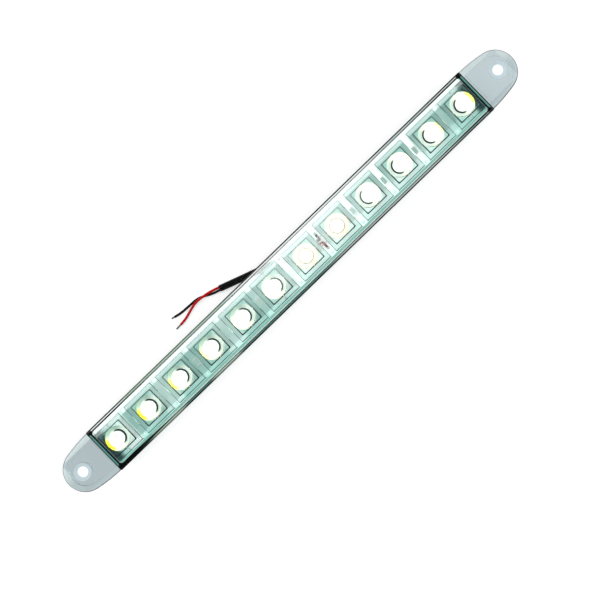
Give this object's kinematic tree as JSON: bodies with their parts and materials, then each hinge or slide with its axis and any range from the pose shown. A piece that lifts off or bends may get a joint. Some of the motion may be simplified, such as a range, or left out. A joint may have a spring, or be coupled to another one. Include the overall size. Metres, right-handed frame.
{
  "type": "daytime running light",
  "caption": "Slim clear LED light bar for a car, with a row of square lens cells, a screw tab at each end and a two-wire lead with bare ends.",
  "frame": {"origin": "centre of the back plane, where the lamp lies on the surface that it is screwed to", "axes": "+X along the row of LEDs, +Y to the side where the lead comes out, +Z out of the back towards the window"},
  "size_m": [0.24, 0.0291, 0.0102],
  "materials": {
    "clear_base": "moulded clear plastic, faintly frosted and cool grey-blue",
    "clear_cover": "clear polished plastic",
    "clear_lens": "clear polished optical plastic",
    "board": "teal-green solder mask on glass epoxy",
    "led_body": "white moulded package",
    "phosphor": "yellow phosphor in clear silicone, glows cool white when lit",
    "tinned_metal": "bright tin over copper",
    "chip": "dark ceramic with tinned ends",
    "solder": "smooth bright solder",
    "grommet_rubber": "soft black rubber",
    "sleeve": "satin black heat-shrink sleeve",
    "red_insulation": "satin red insulation over a stranded core",
    "black_insulation": "satin black insulation over a stranded core"
  },
  "bodies": {
    "root": {"base": "clear_base", "cover": "clear_cover", "circuit_board": "board", "lens_strip": "clear_lens", "led_01_package": "led_body", "led_01_phosphor": "phosphor", "led_01_legs": "tinned_metal", "led_02_package": "led_body", "led_02_phosphor": "phosphor", "led_02_legs": "tinned_metal", "led_03_package": "led_body", "led_03_phosphor": "phosphor", "led_03_legs": "tinned_metal", "led_04_package": "led_body", "led_04_phosphor": "phosphor", "led_04_legs": "tinned_metal", "led_05_package": "led_body", "led_05_phosphor": "phosphor", "led_05_legs": "tinned_metal", "led_06_package": "led_body", "led_06_phosphor": "phosphor", "led_06_legs": "tinned_metal", "led_07_package": "led_body", "led_07_phosphor": "phosphor", "led_07_legs": "tinned_metal", "led_08_package": "led_body", "led_08_phosphor": "phosphor", "led_08_legs": "tinned_metal", "led_09_package": "led_body", "led_09_phosphor": "phosphor", "led_09_legs": "tinned_metal", "led_10_package": "led_body", "led_10_phosphor": "phosphor", "led_10_legs": "tinned_metal", "led_11_package": "led_body", "led_11_phosphor": "phosphor", "led_11_legs": "tinned_metal", "led_12_package": "led_body", "led_12_phosphor": "phosphor", "led_12_legs": "tinned_metal", "resistor_1": "chip", "resistor_2": "chip", "resistor_3": "chip", "resistor_4": "chip", "diode": "chip", "cable_grommet": "grommet_rubber", "solder_red": "solder", "solder_black": "solder", "lead_sleeve": "sleeve", "wire_red": "red_insulation", "wire_black": "black_insulation", "bare_end_red": "tinned_metal", "bare_end_black": "tinned_metal"}
  },
  "joints": []
}
